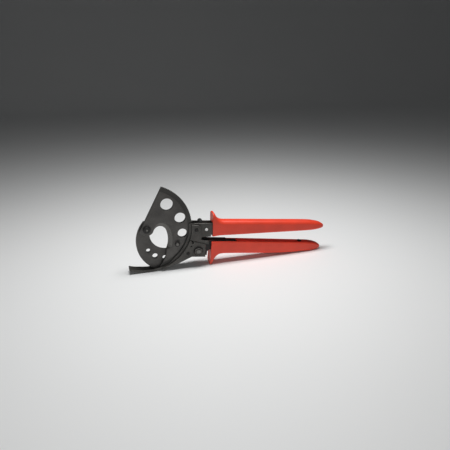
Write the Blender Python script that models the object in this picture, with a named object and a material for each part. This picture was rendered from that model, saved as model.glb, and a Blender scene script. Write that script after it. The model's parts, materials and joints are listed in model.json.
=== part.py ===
"""Ratchet cable cutter, standing on edge as on a bench.

The tool lies in the XZ plane: +X runs from the nose to the handle ends, +Z is up, and Y is the thickness,
with the front face towards -Y. The origin is on the ground below the middle of the tool.

The head is laid out round the blade pivot. Below, (u, v) means millimetres right of and above that pivot,
and y is in millimetres from the middle plane, where the moving blade slides over the fixed one.
"""

from math import atan2, ceil, cos, degrees, pi, radians, sin

import bmesh
import bpy
from mathutils import Vector

MM = 0.001

# Blade pivot in the tool's own frame.
PIVOT_X = -113.0
PIVOT_Z = 60.2

# Layers through the thickness, from the middle plane outwards.
SLIDE_GAP = 0.15        # half the gap between the two blades
BLADE_FACE = 4.4        # outer face of either blade
WALL_IN = 4.7           # guide channel wall
WALL_OUT = 6.0
PLATE_IN = 6.3          # side plates and cheeks
PLATE_OUT = 8.3

# Moving blade.
RIM_R = 58.4            # over the tooth tips
TOOTH_DEPTH = 0.9
TOOTH_STEP = 2.1        # degrees from tooth to tooth
RIM_TOP = 68.3          # the blade's tip
RIM_TOE = -78.0         # the blade's leading end
BLADE_BOSS_R = 9.0
BLADE_CHIN = (22.0, -41.0)      # corner where the cutting edge ends
EDGE_CENTRE = (-8.0, -15.7)     # cutting edge: a long arc that runs into a tight one
EDGE_R = 34.6
EDGE_TOP_CENTRE = (16.2, -7.2)
EDGE_TOP_R = 8.95
BLADE_HOLES = (((27.1, 30.9), 8.0), ((43.2, 11.2), 7.1), ((45.3, -10.1), 6.1))

# Fixed blade: a hook with a round throat.
HOOK_CENTRE = (29.6, -20.6)
HOOK_R = 44.1
THROAT_CENTRE = (24.0, -9.85)
THROAT_R = 20.7
HOOK_BOSS_R = 8.3
HOOK_RIM_R = 58.6
HOOK_HOLES = (((0.25, -31.5), 2.8), ((8.6, -40.3), 3.6), ((21.2, -44.2), 3.2))
HOOK_RIVET_R = 54.6             # radius and angles of the three flush rivets
HOOK_RIVET_ANGLES = (-80, -58, -32)

# Guide channel, an arc round the blade pivot.
CHANNEL_R = 60.2
FLOOR_IN_R = 58.9
WALL_EDGE_R = 57.0      # inner edge of the walls along the foot
WALL_EDGE_TOP_R = 54.2  # and beside the pawls
WALL_EDGE_END_R = 58.5  # and at the foot's tip, where they run out
APRON_R = 51.6          # the back wall reaches in this far to hold the hook
CHANNEL_TOP = 2.5       # degrees
FLOOR_TOP = -46.0
CHANNEL_END = -116.0

# Axes of the other moving pieces, as (u, v).
HANDLE_PIVOT = (65.0, -36.7)
DRIVE_PAWL_PIN = (60.3, -24.9)
HOLDING_PAWL_PIN = (63.4, -6.6)
THUMB_BUTTON = (70.1, 2.1)
FRAME_RIVET = (51.2, -38.9)
CORE_RIVET = (77.2, -8.2)
KNOB = (37.7, -23.8)

# Bolts and pins.
PIVOT_BOLT_R = 3.9
HANDLE_BOLT_R = 4.0
HANDLE_THREAD_R = 3.2
RIVET_R = 1.6
FLUSH_HEAD_R = 2.4      # head of the holding pawl's pin, let into the cheeks
PAWL_PIN_R = 1.5
KNOB_STEM_R = 1.7

PLATE_EDGE_R = 58.0     # concave edge of the side plates and cheeks
CORE_HALF = 5.9         # half width of the upper handle core
LOWER_CORE_HALF = 5.4   # half width of the lower one
CORE_FAR = 215.0        # where the upper core ends
LOWER_CORE_FAR = 208.0  # where the lower one ends
SLOT_END = 120.0        # end of the lower grip's open slot
HALF_WIDTH = 11.3       # over the handle pivot

PIN_GAP = 0.08          # running clearance round a pin
TOUCH_GAP = 0.3         # between pieces that touch in the real tool


# ---------------------------------------------------------------- materials

def material(name, colour, roughness, metallic=0.0):
    made = bpy.data.materials.new(name)
    made.use_nodes = True
    shader = made.node_tree.nodes["Principled BSDF"]
    shader.inputs["Base Color"].default_value = (*colour, 1.0)
    shader.inputs["Roughness"].default_value = roughness
    shader.inputs["Metallic"].default_value = metallic
    return made


def blade_steel(name):
    return material(name, (0.085, 0.080, 0.075), 0.42, 0.8)


def frame_steel(name):
    return material(name, (0.10, 0.095, 0.088), 0.48, 0.7)


def dark_steel(name):
    return material(name, (0.018, 0.017, 0.016), 0.5, 0.6)


def bright_steel(name):
    return material(name, (0.30, 0.29, 0.27), 0.35, 0.9)


def grip_plastic(name):
    return material(name, (0.62, 0.060, 0.022), 0.38)


def black_rubber(name):
    return material(name, (0.015, 0.015, 0.015), 0.8)


# ---------------------------------------------------------------- outlines in (u, v)

def arc(centre, radius, start, end, step=4.0):
    """Points along an arc, in degrees, at most one step apart."""
    count = max(1, ceil(abs(end - start) / step))
    angles = [radians(start + (end - start) * i / count) for i in range(count + 1)]
    return [(centre[0] + radius * cos(a), centre[1] + radius * sin(a)) for a in angles]


def polar(radius, angle):
    return (radius * cos(radians(angle)), radius * sin(radians(angle)))


def strut(start, end, start_r, end_r):
    """A tapered bar with round ends."""
    heading = degrees(atan2(end[1] - start[1], end[0] - start[0]))
    return arc(start, start_r, heading + 90, heading + 270, 20) + arc(end, end_r, heading - 90, heading + 90, 30)


def toothed_rim(start, end):
    """Saw teeth from one angle down to the other, each with its steep side facing the blade's tip."""
    points = []
    for i in range(int((start - end) / TOOTH_STEP)):
        tip = start - i * TOOTH_STEP
        points.append(polar(RIM_R, tip))
        points.append(polar(RIM_R - TOOTH_DEPTH, tip - 0.25 * TOOTH_STEP))
    return points + [polar(RIM_R, end)]


# ---------------------------------------------------------------- solids

def finished(name, mesh_source, origin, finish):
    """Turns a bmesh, in millimetres from the blade pivot, into an object whose origin is at the given (u, v)."""
    bmesh.ops.recalc_face_normals(mesh_source, faces=mesh_source.faces)
    if mesh_source.calc_volume(signed=True) < 0:
        bmesh.ops.reverse_faces(mesh_source, faces=mesh_source.faces)
    for vertex in mesh_source.verts:
        vertex.co = Vector((vertex.co.x - origin[0], vertex.co.y, vertex.co.z - origin[1])) * MM
    mesh = bpy.data.meshes.new(name)
    mesh_source.to_mesh(mesh)
    mesh_source.free()
    made = bpy.data.objects.new(name, mesh)
    made.location = ((PIVOT_X + origin[0]) * MM, 0, (PIVOT_Z + origin[1]) * MM)
    bpy.context.scene.collection.objects.link(made)
    mesh.shade_smooth()
    mesh.set_sharp_from_angle(angle=radians(32))
    if finish:
        mesh.materials.append(finish)
    return made


def prism(name, outline, front, back, finish=None, origin=(0, 0)):
    """A flat plate: an outline in (u, v), from y = front to y = back."""
    source = bmesh.new()
    face = source.faces.new([source.verts.new((u, front, v)) for u, v in outline])
    spread = bmesh.ops.extrude_face_region(source, geom=[face])
    raised = [item for item in spread["geom"] if isinstance(item, bmesh.types.BMVert)]
    bmesh.ops.translate(source, verts=raised, vec=(0, back - front, 0))
    return finished(name, source, origin, finish)


def turned(name, profile, at, finish=None, sides=32):
    """A turned piece on an axis along Y: its profile is (radius, y) pairs from one end to the other."""
    source = bmesh.new()
    rings = []
    for radius, y in profile:
        angles = [2 * pi * i / sides for i in range(sides)]
        rings.append([source.verts.new((at[0] + radius * cos(a), y, at[1] + radius * sin(a))) for a in angles])
    for one, two in zip(rings, rings[1:]):
        for i in range(sides):
            j = (i + 1) % sides
            source.faces.new((one[i], one[j], two[j], two[i]))
    source.faces.new(rings[0])
    source.faces.new(rings[-1])
    return finished(name, source, at, finish)


def lofted(name, stations, finish=None, origin=(0, 0), sides=28, squareness=3.6):
    """A solid swept through sections, each (top u, top v, bottom u, bottom v, half width)."""
    source = bmesh.new()
    rings = []
    for top_u, top_v, bottom_u, bottom_v, half_width in stations:
        ring = []
        for i in range(sides):
            angle = 2 * pi * (i + 0.5) / sides
            across = abs(cos(angle)) ** (2 / squareness) * (1 if cos(angle) > 0 else -1)
            upward = abs(sin(angle)) ** (2 / squareness) * (1 if sin(angle) > 0 else -1)
            share = (1 + upward) / 2
            u = bottom_u + (top_u - bottom_u) * share
            v = bottom_v + (top_v - bottom_v) * share
            ring.append(source.verts.new((u, half_width * across, v)))
        rings.append(ring)
    for one, two in zip(rings, rings[1:]):
        for i in range(sides):
            j = (i + 1) % sides
            source.faces.new((one[i], one[j], two[j], two[i]))
    source.faces.new(rings[0])
    source.faces.new(rings[-1])
    return finished(name, source, origin, finish)


def combine(target, helper, operation):
    """Cuts the helper from the target, or joins it, with the EXACT solver."""
    helper.hide_render = True
    helper.display_type = "WIRE"
    modifier = target.modifiers.new(operation.title() + "_" + helper.name, "BOOLEAN")
    modifier.operation = operation
    modifier.object = helper


def drill(target, at, radius, sides=32, front=-30.0, back=30.0):
    """A hole along Y, right through unless its ends are given."""
    name = f"{target.name}_hole_{len(target.modifiers)}"
    combine(target, turned(name, [(radius, front), (radius, back)], at, sides=sides), "DIFFERENCE")


def coil(name, at, radius, wire, front, back, finish, legs):
    """A torsion spring round a pin: turns from front to back, then straight legs along two angles."""
    turns = max(2, int((back - front - wire) / (wire * 1.25)))
    steps = 14
    route = []
    first_leg = radians(legs[0])
    route.append((radius * cos(first_leg) - 3.4 * sin(first_leg), front + wire / 2,
                  radius * sin(first_leg) + 3.4 * cos(first_leg)))
    sweep = 2 * pi * turns + radians(legs[1] - legs[0])
    count = int(steps * turns)
    for i in range(count + 1):
        angle = first_leg - sweep * i / count
        y = front + wire / 2 + (back - front - wire) * i / count
        route.append((radius * cos(angle), y, radius * sin(angle)))
    last = first_leg - sweep
    route.append((radius * cos(last) + 3.4 * sin(last), back - wire / 2, radius * sin(last) - 3.4 * cos(last)))
    curve = bpy.data.curves.new(name, "CURVE")
    curve.dimensions = "3D"
    curve.bevel_depth = wire / 2 * MM
    curve.bevel_resolution = 1
    curve.use_fill_caps = True
    spline = curve.splines.new("POLY")
    spline.points.add(len(route) - 1)
    for point, (x, y, z) in zip(spline.points, route):
        point.co = (x * MM, y * MM, z * MM, 1)
    made = bpy.data.objects.new(name, curve)
    made.location = ((PIVOT_X + at[0]) * MM, 0, (PIVOT_Z + at[1]) * MM)
    bpy.context.scene.collection.objects.link(made)
    curve.materials.append(finish)
    return made


# ---------------------------------------------------------------- the blades

def moving_blade():
    """Sickle blade: toothed rim, cutting edge facing the throat, boss, and straight back edge."""
    join = degrees(atan2(EDGE_TOP_CENTRE[1] - EDGE_CENTRE[1], EDGE_TOP_CENTRE[0] - EDGE_CENTRE[0]))
    outline = toothed_rim(RIM_TOP, RIM_TOE) + [BLADE_CHIN]
    outline += arc(EDGE_CENTRE, EDGE_R, -25.5, join, 5)
    outline += arc(EDGE_TOP_CENTRE, EDGE_TOP_R, join, 143, 12)[1:]
    outline += arc((0, 0), BLADE_BOSS_R, -30, -167.5, 10)
    blade = prism("moving_blade", outline, -BLADE_FACE, -SLIDE_GAP, blade_steel("blade_steel"))
    for at, radius in BLADE_HOLES:
        drill(blade, at, radius)
    drill(blade, (0, 0), PIVOT_BOLT_R + PIN_GAP)
    drill(blade, KNOB, KNOB_STEM_R + PIN_GAP, 16)


def blade_knob():
    """Button riveted to the moving blade, to swing it by hand."""
    profile = [(KNOB_STEM_R, -SLIDE_GAP - 0.1), (KNOB_STEM_R, -WALL_IN), (2.6, -WALL_IN), (3.3, -5.4),
               (3.4, -7.2), (2.9, -8.2), (1.6, -8.8)]
    turned("blade_knob", profile, KNOB, bright_steel("knob_steel"), 20)


def fixed_blade():
    """Hook behind the moving blade, with a round throat and three small holes along its belly."""
    outline = arc(HOOK_CENTRE, HOOK_R, 236, 137, 5)
    outline += arc((0, 0), HOOK_BOSS_R, 100, -65, 12)
    outline += arc(THROAT_CENTRE, THROAT_R, 174, 325, 6)
    outline += [polar(56.0, -18.8)]
    outline += arc((0, 0), HOOK_RIM_R, -17.9, -84, 5)
    hook = prism("fixed_blade", outline, SLIDE_GAP, BLADE_FACE, blade_steel("hook_steel"))
    for at, radius in HOOK_HOLES:
        drill(hook, at, radius, 20)
    drill(hook, (0, 0), PIVOT_BOLT_R + PIN_GAP)
    for angle in HOOK_RIVET_ANGLES:
        drill(hook, polar(HOOK_RIVET_R, angle), 1.5 + PIN_GAP, 16)


def hook_rivets():
    """Flush rivets that hold the hook to the guide channel's back wall."""
    profile = [(1.5, SLIDE_GAP + 0.15), (1.5, WALL_OUT + 0.2), (2.4, WALL_OUT + 0.2), (2.4, WALL_OUT + 0.7),
               (1.6, WALL_OUT + 1.1)]
    for number, angle in enumerate(HOOK_RIVET_ANGLES, 1):
        turned(f"hook_rivet_{number}", profile, polar(HOOK_RIVET_R, angle), bright_steel("rivet_steel"), 16)


def blade_pivot():
    """Shoulder bolt from the front, with a washer under its low head and a nut behind the hook."""
    bolt = [(3.7, -7.4), (4.4, -7.0), (4.4, -6.4), (PIVOT_BOLT_R, -6.4), (PIVOT_BOLT_R, WALL_IN), (3.0, WALL_IN),
            (3.0, 9.4)]
    turned("blade_pivot_bolt", bolt, (0, 0), bright_steel("pivot_bolt_steel"))
    washer = turned("blade_pivot_washer", [(5.0, -6.1), (5.0, -WALL_IN)], (0, 0), dark_steel("washer_steel"))
    drill(washer, (0, 0), PIVOT_BOLT_R + 0.2)
    nut = turned("blade_pivot_nut", [(5.0, WALL_IN + 0.3), (5.6, 5.4), (5.6, 8.3), (5.0, 8.7)], (0, 0),
                 dark_steel("pivot_nut_steel"), 6)
    drill(nut, (0, 0), 3.0 + 0.2, 24)


# ---------------------------------------------------------------- the frame

def slope(x, start, end, before, after):
    """A value that runs from one level to another between two angles."""
    share = min(1.0, max(0.0, (x - start) / (end - start)))
    return before + (after - before) * share


def guide_channel():
    """U-shaped arc that guides the blades' rims; its free end is the foot. The pawls reach in above the floor."""
    foot_angles = [CHANNEL_END + (FLOOR_TOP - CHANNEL_END) * i / 24 for i in range(25)]
    top_angles = [FLOOR_TOP + (CHANNEL_TOP - FLOOR_TOP) * i / 16 for i in range(1, 17)]
    source = bmesh.new()
    rings = []
    for angle in foot_angles + top_angles:
        front_edge = slope(angle, CHANNEL_END, -100, WALL_EDGE_END_R, WALL_EDGE_R)
        front_edge += slope(angle, -66, -50, 0.0, WALL_EDGE_TOP_R - WALL_EDGE_R)
        apron = slope(angle, -89, -86, 0.0, 1.0) * slope(angle, -24, -19, 1.0, 0.0)
        back_edge = front_edge + (APRON_R - front_edge) * apron
        section = [(front_edge, -WALL_OUT), (CHANNEL_R, -WALL_OUT), (CHANNEL_R, -WALL_IN), (FLOOR_IN_R, -WALL_IN),
                   (front_edge, -WALL_IN), (back_edge, WALL_IN), (FLOOR_IN_R, WALL_IN), (CHANNEL_R, WALL_IN),
                   (CHANNEL_R, WALL_OUT), (back_edge, WALL_OUT)]
        ring = []
        for radius, y in section:
            u, v = polar(radius, angle)
            ring.append(source.verts.new((u, y, v)))
        rings.append(ring)
    with_floor = [0, 1, 2, 7, 8, 9, 5, 6, 3, 4]
    front_wall = [0, 1, 2, 3, 4]
    back_wall = [7, 8, 9, 5, 6]
    for number, (one, two) in enumerate(zip(rings, rings[1:])):
        loops = [with_floor] if number < len(foot_angles) - 1 else [front_wall, back_wall]
        for loop in loops:
            for i, j in zip(loop, loop[1:] + loop[:1]):
                source.faces.new((one[i], one[j], two[j], two[i]))
    source.faces.new([rings[0][i] for i in with_floor])
    source.faces.new([rings[len(foot_angles) - 1][i] for i in (2, 7, 6, 3)])
    source.faces.new([rings[-1][i] for i in front_wall])
    source.faces.new([rings[-1][i] for i in back_wall])
    channel = finished("guide_channel", source, (0, 0), frame_steel("channel_steel"))
    for angle in HOOK_RIVET_ANGLES:
        drill(channel, polar(HOOK_RIVET_R, angle), 1.5 + PIN_GAP, 16, front=3.0, back=8.0)


def side_plate(name, front, back, notched):
    """Lower side plate of the frame, from the gusset over the channel to the handle pivot."""
    outline = arc((0, 0), PLATE_EDGE_R, -21, -75, 4)
    outline += [(37.5, -51.8), (55.9, -44.3), (74.4, -46.8), (75.3, -28.6), (74.6, -27.6)]
    plate = prism(name, outline, front, back, frame_steel(f"{name}_steel"))
    drill(plate, HANDLE_PIVOT, HANDLE_BOLT_R + PIN_GAP)
    drill(plate, FRAME_RIVET, RIVET_R + PIN_GAP, 20)
    if notched:
        notch = prism(f"{name}_notch", [(56.8, -25.4), (59.5, -25.4), (59.5, -20), (56.8, -20)], -12, -5)
        combine(plate, notch, "DIFFERENCE")
        drill(plate, (56.0, -29.0), 0.9, 12)


def cheek_plate(name, front, back):
    """Upper side plate, rounded over the holding pawl, with a tongue that reaches back along the lower plate."""
    outline = arc((0, 0), PLATE_EDGE_R, -20.3, 1.5, 4) + arc(HOLDING_PAWL_PIN, 7.0, 95, -5, 12)
    outline += [(69.6, -21.7), (79.2, -24.1), (79.2, -28.8)]
    plate = prism(name, outline, front, back, frame_steel(f"{name}_steel"))
    drill(plate, HOLDING_PAWL_PIN, FLUSH_HEAD_R + PIN_GAP, 20)


def frame_spacer():
    """Block between the side plates, outside the channel floor."""
    outline = arc((0, 0), CHANNEL_R + TOUCH_GAP, -47.5, -60, 4) + [(32.0, -52.9), (37.5, -51.2), (46.5, -47.5)]
    prism("frame_spacer", outline, -WALL_OUT, WALL_OUT, frame_steel("spacer_steel"))


def rivet(name, at, face, head, finish):
    """Rivet through the whole thickness, with a low head beyond the outer faces at y = -face and y = face."""
    under = face + TOUCH_GAP
    end = under + 0.7
    profile = [(head * 0.75, -end), (head, -end + 0.3), (head, -under), (RIVET_R, -under), (RIVET_R, under),
               (head, under), (head, end - 0.3), (head * 0.75, end)]
    turned(name, profile, at, finish, 20)


def flush_pin(name, at, finish):
    """Pin whose heads are let into both cheeks."""
    under = PLATE_IN + 0.2
    end = PLATE_OUT - 0.05
    profile = [(FLUSH_HEAD_R, -end), (FLUSH_HEAD_R, -under), (RIVET_R, -under), (RIVET_R, under),
               (FLUSH_HEAD_R, under), (FLUSH_HEAD_R, end)]
    turned(name, profile, at, finish, 20)


def handle_pivot():
    """Bolt from the back through the frame and the lower handle, with a washer and a nut in front."""
    bolt = [(HANDLE_THREAD_R, -HALF_WIDTH), (HANDLE_THREAD_R, -9.0), (HANDLE_BOLT_R, -9.0), (HANDLE_BOLT_R, 8.6),
            (6.2, 8.6), (6.2, 10.3), (4.8, HALF_WIDTH)]
    turned("handle_pivot_bolt", bolt, HANDLE_PIVOT, bright_steel("handle_bolt_steel"))
    washer = turned("handle_pivot_washer", [(6.5, -9.4), (6.5, -8.6)], HANDLE_PIVOT, dark_steel("washer_2_steel"))
    drill(washer, HANDLE_PIVOT, HANDLE_BOLT_R + 0.2)
    nut = turned("handle_pivot_nut", [(5.0, -HALF_WIDTH), (5.6, -10.8), (5.6, -9.7)], HANDLE_PIVOT,
                 frame_steel("handle_nut_steel"), 6)
    drill(nut, HANDLE_PIVOT, HANDLE_THREAD_R + 0.2, 24)


# ---------------------------------------------------------------- the pawls

def drive_pawl():
    """Strut on the lower handle that pushes the rim down as the handles close."""
    outline = strut(DRIVE_PAWL_PIN, polar(60.4, -40), 3.0, 1.0)
    pawl = prism("drive_pawl", outline, -4.4, -0.35, bright_steel("drive_pawl_steel"), DRIVE_PAWL_PIN)
    drill(pawl, DRIVE_PAWL_PIN, PAWL_PIN_R + PIN_GAP, 20)
    profile = [(PAWL_PIN_R, -5.9), (PAWL_PIN_R, 5.6)]
    turned("drive_pawl_pin", profile, DRIVE_PAWL_PIN, bright_steel("drive_pin_steel"), 20)
    coil("drive_pawl_spring", DRIVE_PAWL_PIN, 2.1, 0.32, -5.95, -4.6, bright_steel("drive_spring_steel"), (250, 200))


def holding_pawl():
    """Pawl that keeps the blade from springing back; its tail ends in a thumb button above the handle."""
    outline = strut(HOLDING_PAWL_PIN, polar(60.1, -17), 3.9, 1.2)
    pawl = prism("holding_pawl", outline, -4.3, -0.4, dark_steel("holding_pawl_steel"), HOLDING_PAWL_PIN)
    tail = prism("holding_pawl_tail", strut(HOLDING_PAWL_PIN, THUMB_BUTTON, 3.2, 2.4), -4.3, -0.4)
    thumb = prism("holding_pawl_button", arc(THUMB_BUTTON, 3.2, 0, 345, 15), -4.3, 4.3)
    for helper in (tail, thumb):
        combine(pawl, helper, "UNION")
    drill(pawl, HOLDING_PAWL_PIN, RIVET_R + PIN_GAP, 20)
    coil("holding_pawl_spring", HOLDING_PAWL_PIN, 2.6, 0.7, 0.2, 4.2, bright_steel("holding_spring_steel"), (60, 110))


# ---------------------------------------------------------------- the handles

def upper_grip_top(u):
    return -0.5 - 0.1127 * (u - 115.7)


def upper_grip_bottom(u):
    return -20.5 - 0.061 * (u - 114.4)


def upper_handle_core():
    """Steel channel, open upwards, from beside the holding pawl into the upper grip."""
    far = CORE_FAR
    grip_end = 83.3
    left = arc((0, 0), CHANNEL_R + TOUCH_GAP, 2.4, -17.4, 6)
    outline = left + [(grip_end, -19.2), (grip_end, upper_grip_bottom(grip_end) + 1.9)]
    outline += [(far, upper_grip_bottom(far) + 1.9), (far, upper_grip_top(far) - 2.8)]
    core = prism("upper_handle_core", outline, -CORE_HALF, -CORE_HALF + 1.4, frame_steel("upper_core_steel"))
    back_wall = prism("upper_core_back_wall", outline, CORE_HALF - 1.4, CORE_HALF)
    web_top = [(u, upper_grip_bottom(u) + 3.8) for u in (far - 0.5, 70.5)]
    web_bottom = [(u, upper_grip_bottom(u) + 2.3) for u in (70.5, far - 0.5)]
    web = prism("upper_core_web", web_top + web_bottom, -CORE_HALF + 0.2, CORE_HALF - 0.2)
    for helper in (back_wall, web):
        combine(core, helper, "UNION")
    drill(core, HOLDING_PAWL_PIN, RIVET_R + PIN_GAP, 20)
    drill(core, CORE_RIVET, RIVET_R + PIN_GAP, 20)


def upper_grip():
    """Moulded sleeve with a finger guard that flares upwards."""
    stations = [
        (86.0, 12.0, 85.2, -18.6, 7.4), (86.8, 13.6, 86.0, -19.4, 8.0), (88.8, 13.2, 88.0, -19.5, 8.0),
        (91.6, 7.6, 91.2, -19.3, 7.8), (95.0, 3.4, 95.0, -19.3, 7.6), (100, 1.4, 100, -19.6, 7.4),
        (115.7, upper_grip_top(115.7), 115.7, upper_grip_bottom(115.7), 7.4),
        (222, upper_grip_top(222), 222, upper_grip_bottom(222), 7.0),
        (236, -14.9, 236, -27.8, 6.4), (244, -17.2, 244, -27.8, 5.4), (249.5, -20.0, 249.5, -27.0, 3.9),
        (252.4, -22.7, 252.4, -25.8, 1.8)]
    grip = lofted("upper_grip", stations, grip_plastic("upper_grip_plastic"))
    far = CORE_FAR + TOUCH_GAP
    top = [(u, upper_grip_top(u) - 2.8 + TOUCH_GAP) for u in (75.0, far)]
    bottom = [(u, upper_grip_bottom(u) + 1.9 - TOUCH_GAP) for u in (far, 75.0)]
    cavity = prism("upper_grip_cavity", top + bottom, -CORE_HALF - TOUCH_GAP, CORE_HALF + TOUCH_GAP)
    combine(grip, cavity, "DIFFERENCE")


def lower_grip_top(u):
    return -30.7 - 0.144 * (u - 120.0)


def lower_handle_core():
    """Steel bar inside the lower grip, which comes out of its slot towards the pivot and carries the drive pawl."""
    far = LOWER_CORE_FAR
    outline = [(66.5, -22.0), (105.7, -27.5), (107.0, lower_grip_top(107.0) - 0.6),
               (SLOT_END, lower_grip_top(SLOT_END) - 0.6), (SLOT_END, lower_grip_top(SLOT_END) - 2.1),
               (far, lower_grip_top(far) - 2.1), (far, -52.5), (112, -43.5), (86, -37.5), (80.6, -38.4), (77.6, -40.5), (77.2, -45.8),
               (71.5, -45.8)]
    outline += arc(HANDLE_PIVOT, 7.1, -50, -300, 12) + [(66.8, -24.5)]
    core = prism("lower_handle_core", outline, -LOWER_CORE_HALF, LOWER_CORE_HALF, dark_steel("lower_core_steel"),
                 HANDLE_PIVOT)
    arm = prism("lower_core_arm", strut(HANDLE_PIVOT, DRIVE_PAWL_PIN, 6.9, 3.9), 0.3, LOWER_CORE_HALF - 0.1)
    combine(core, arm, "UNION")
    drill(core, HANDLE_PIVOT, HANDLE_BOLT_R + PIN_GAP)
    drill(core, DRIVE_PAWL_PIN, PAWL_PIN_R + PIN_GAP, 20)


def lower_grip():
    """Moulded sleeve with a flat top, slotted near the guard, and a finger guard that flares downwards."""
    stations = [
        (83.4, -27.2, 81.0, -58.0, 7.6), (84.4, -26.3, 80.2, -60.0, 8.2), (86.4, -26.2, 82.6, -60.1, 8.2),
        (89.0, -26.4, 85.8, -54.8, 7.9), (93.0, -26.8, 89.8, -48.8, 7.6), (99.0, -27.7, 97.0, -46.6, 7.4),
        (115, lower_grip_top(115), 115, -48.3, 7.4), (163.8, lower_grip_top(163.8), 163.8, -54.7, 7.3),
        (189, lower_grip_top(189), 189, -57.6, 7.1), (215.4, lower_grip_top(215.4), 215.4, -59.3, 6.9),
        (232, lower_grip_top(232), 232, -60.0, 6.7), (242, -49.6, 242, -59.7, 5.6), (247.0, -52.4, 247.0, -58.6, 3.9),
        (249.2, -54.8, 249.2, -57.2, 1.6)]
    grip = lofted("lower_grip", stations, grip_plastic("lower_grip_plastic"), HANDLE_PIVOT, squareness=5.0)
    far = LOWER_CORE_FAR + TOUCH_GAP
    slot_end = SLOT_END + TOUCH_GAP
    cavity_outline = [(74, -15), (slot_end, -15), (slot_end, lower_grip_top(slot_end) - 1.8),
                      (far, lower_grip_top(far) - 1.8), (far, -52.8), (112, -43.8), (74, -37.8)]
    cavity_half = LOWER_CORE_HALF + TOUCH_GAP
    combine(grip, prism("lower_grip_cavity", cavity_outline, -cavity_half, cavity_half), "DIFFERENCE")
    bumper_at = (216.0, lower_grip_top(216.0))
    socket = turned("bumper_socket", [(1.7, -4.0), (1.7, 6.0)], bumper_at, sides=16)
    profile = [(1.4, -3.6), (1.4, 0.3), (3.4, 0.3), (3.4, 1.1), (2.7, 1.5)]
    bumper = turned("handle_bumper", profile, bumper_at, black_rubber("bumper_rubber"), 20)
    for upright in (socket, bumper):
        upright.rotation_euler = (pi / 2, atan2(0.144, 1.0), 0)
    combine(grip, socket, "DIFFERENCE")


# ---------------------------------------------------------------- the whole tool

def main():
    for old in list(bpy.data.objects):
        bpy.data.objects.remove(old)
    moving_blade()
    blade_knob()
    fixed_blade()
    hook_rivets()
    blade_pivot()
    guide_channel()
    side_plate("frame_front_plate", -PLATE_OUT, -PLATE_IN, True)
    side_plate("frame_back_plate", PLATE_IN, PLATE_OUT, False)
    cheek_plate("front_cheek_plate", -PLATE_OUT, -PLATE_IN)
    cheek_plate("back_cheek_plate", PLATE_IN, PLATE_OUT)
    frame_spacer()
    rivet("frame_rivet", FRAME_RIVET, PLATE_OUT, 2.3, dark_steel("frame_rivet_steel"))
    rivet("upper_core_rivet", CORE_RIVET, CORE_HALF, 2.1, bright_steel("core_rivet_steel"))
    flush_pin("holding_pawl_pin", HOLDING_PAWL_PIN, dark_steel("holding_pin_steel"))
    handle_pivot()
    drive_pawl()
    holding_pawl()
    upper_handle_core()
    upper_grip()
    lower_handle_core()
    lower_grip()


main()
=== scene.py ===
"""Looks of the ratchet cable cutter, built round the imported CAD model.

The tool stands in the XZ plane: +X runs from the nose to the handle ends, +Z is up, and the front faces -Y.
Below, (u, v) means millimetres right of and above the blade pivot, and y is in millimetres from the middle plane.
"""

import json
from math import atan2, ceil, cos, degrees, pi, radians, sin

import bmesh
import bpy
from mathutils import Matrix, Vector
from mathutils.geometry import tessellate_polygon


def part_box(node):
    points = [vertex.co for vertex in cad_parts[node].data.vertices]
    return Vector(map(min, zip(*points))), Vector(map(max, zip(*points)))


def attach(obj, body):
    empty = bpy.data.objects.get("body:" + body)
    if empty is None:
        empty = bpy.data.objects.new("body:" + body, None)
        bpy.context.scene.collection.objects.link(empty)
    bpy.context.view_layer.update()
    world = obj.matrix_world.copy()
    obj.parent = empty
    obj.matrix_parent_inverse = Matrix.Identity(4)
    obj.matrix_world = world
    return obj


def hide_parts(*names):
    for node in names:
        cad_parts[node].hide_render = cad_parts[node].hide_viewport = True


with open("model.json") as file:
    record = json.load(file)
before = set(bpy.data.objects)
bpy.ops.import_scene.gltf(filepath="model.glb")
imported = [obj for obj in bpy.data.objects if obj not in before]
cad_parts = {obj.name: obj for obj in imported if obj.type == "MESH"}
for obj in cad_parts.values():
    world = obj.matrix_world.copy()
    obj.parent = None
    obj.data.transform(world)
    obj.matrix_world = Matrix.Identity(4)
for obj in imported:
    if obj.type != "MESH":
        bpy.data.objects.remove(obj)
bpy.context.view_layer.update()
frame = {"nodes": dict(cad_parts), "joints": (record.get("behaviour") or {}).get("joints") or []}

MM = 0.001
JOINTS = {joint["name"]: joint for joint in frame["joints"]}
PIVOT = Vector(JOINTS["blade_turn"]["pos_m"])


def place(u, y, v):
    """From millimetres round the blade pivot to metres in the tool's frame."""
    return PIVOT + Vector((u, y, v)) * MM


def joint_at(name):
    """A joint's axis as (u, v)."""
    offset = Vector(JOINTS[name]["pos_m"]) - PIVOT
    return (offset.x / MM, offset.z / MM)


def node_at(node):
    """The middle of a CAD node as (u, v)."""
    low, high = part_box(node)
    offset = (low + high) / 2 - PIVOT
    return (offset.x / MM, offset.z / MM)


HANDLE_PIVOT = joint_at("handle_squeeze")
DRIVE_PAWL_PIN = joint_at("drive_pawl_tilt")
HOLDING_PAWL_PIN = joint_at("holding_pawl_release")
FRAME_RIVET = node_at("frame_rivet")
CORE_RIVET = node_at("upper_core_rivet")
KNOB = node_at("blade_knob")
THUMB_BUTTON = (70.1, 2.1)

# Layers through the thickness, from the middle plane outwards.
SLIDE_GAP = 0.15
BLADE_FACE = 4.4
WALL_IN = 4.7
WALL_OUT = 6.0
PLATE_IN = 6.3
PLATE_OUT = 8.3
CORE_HALF = 5.9
LOWER_CORE_HALF = 5.4

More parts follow.
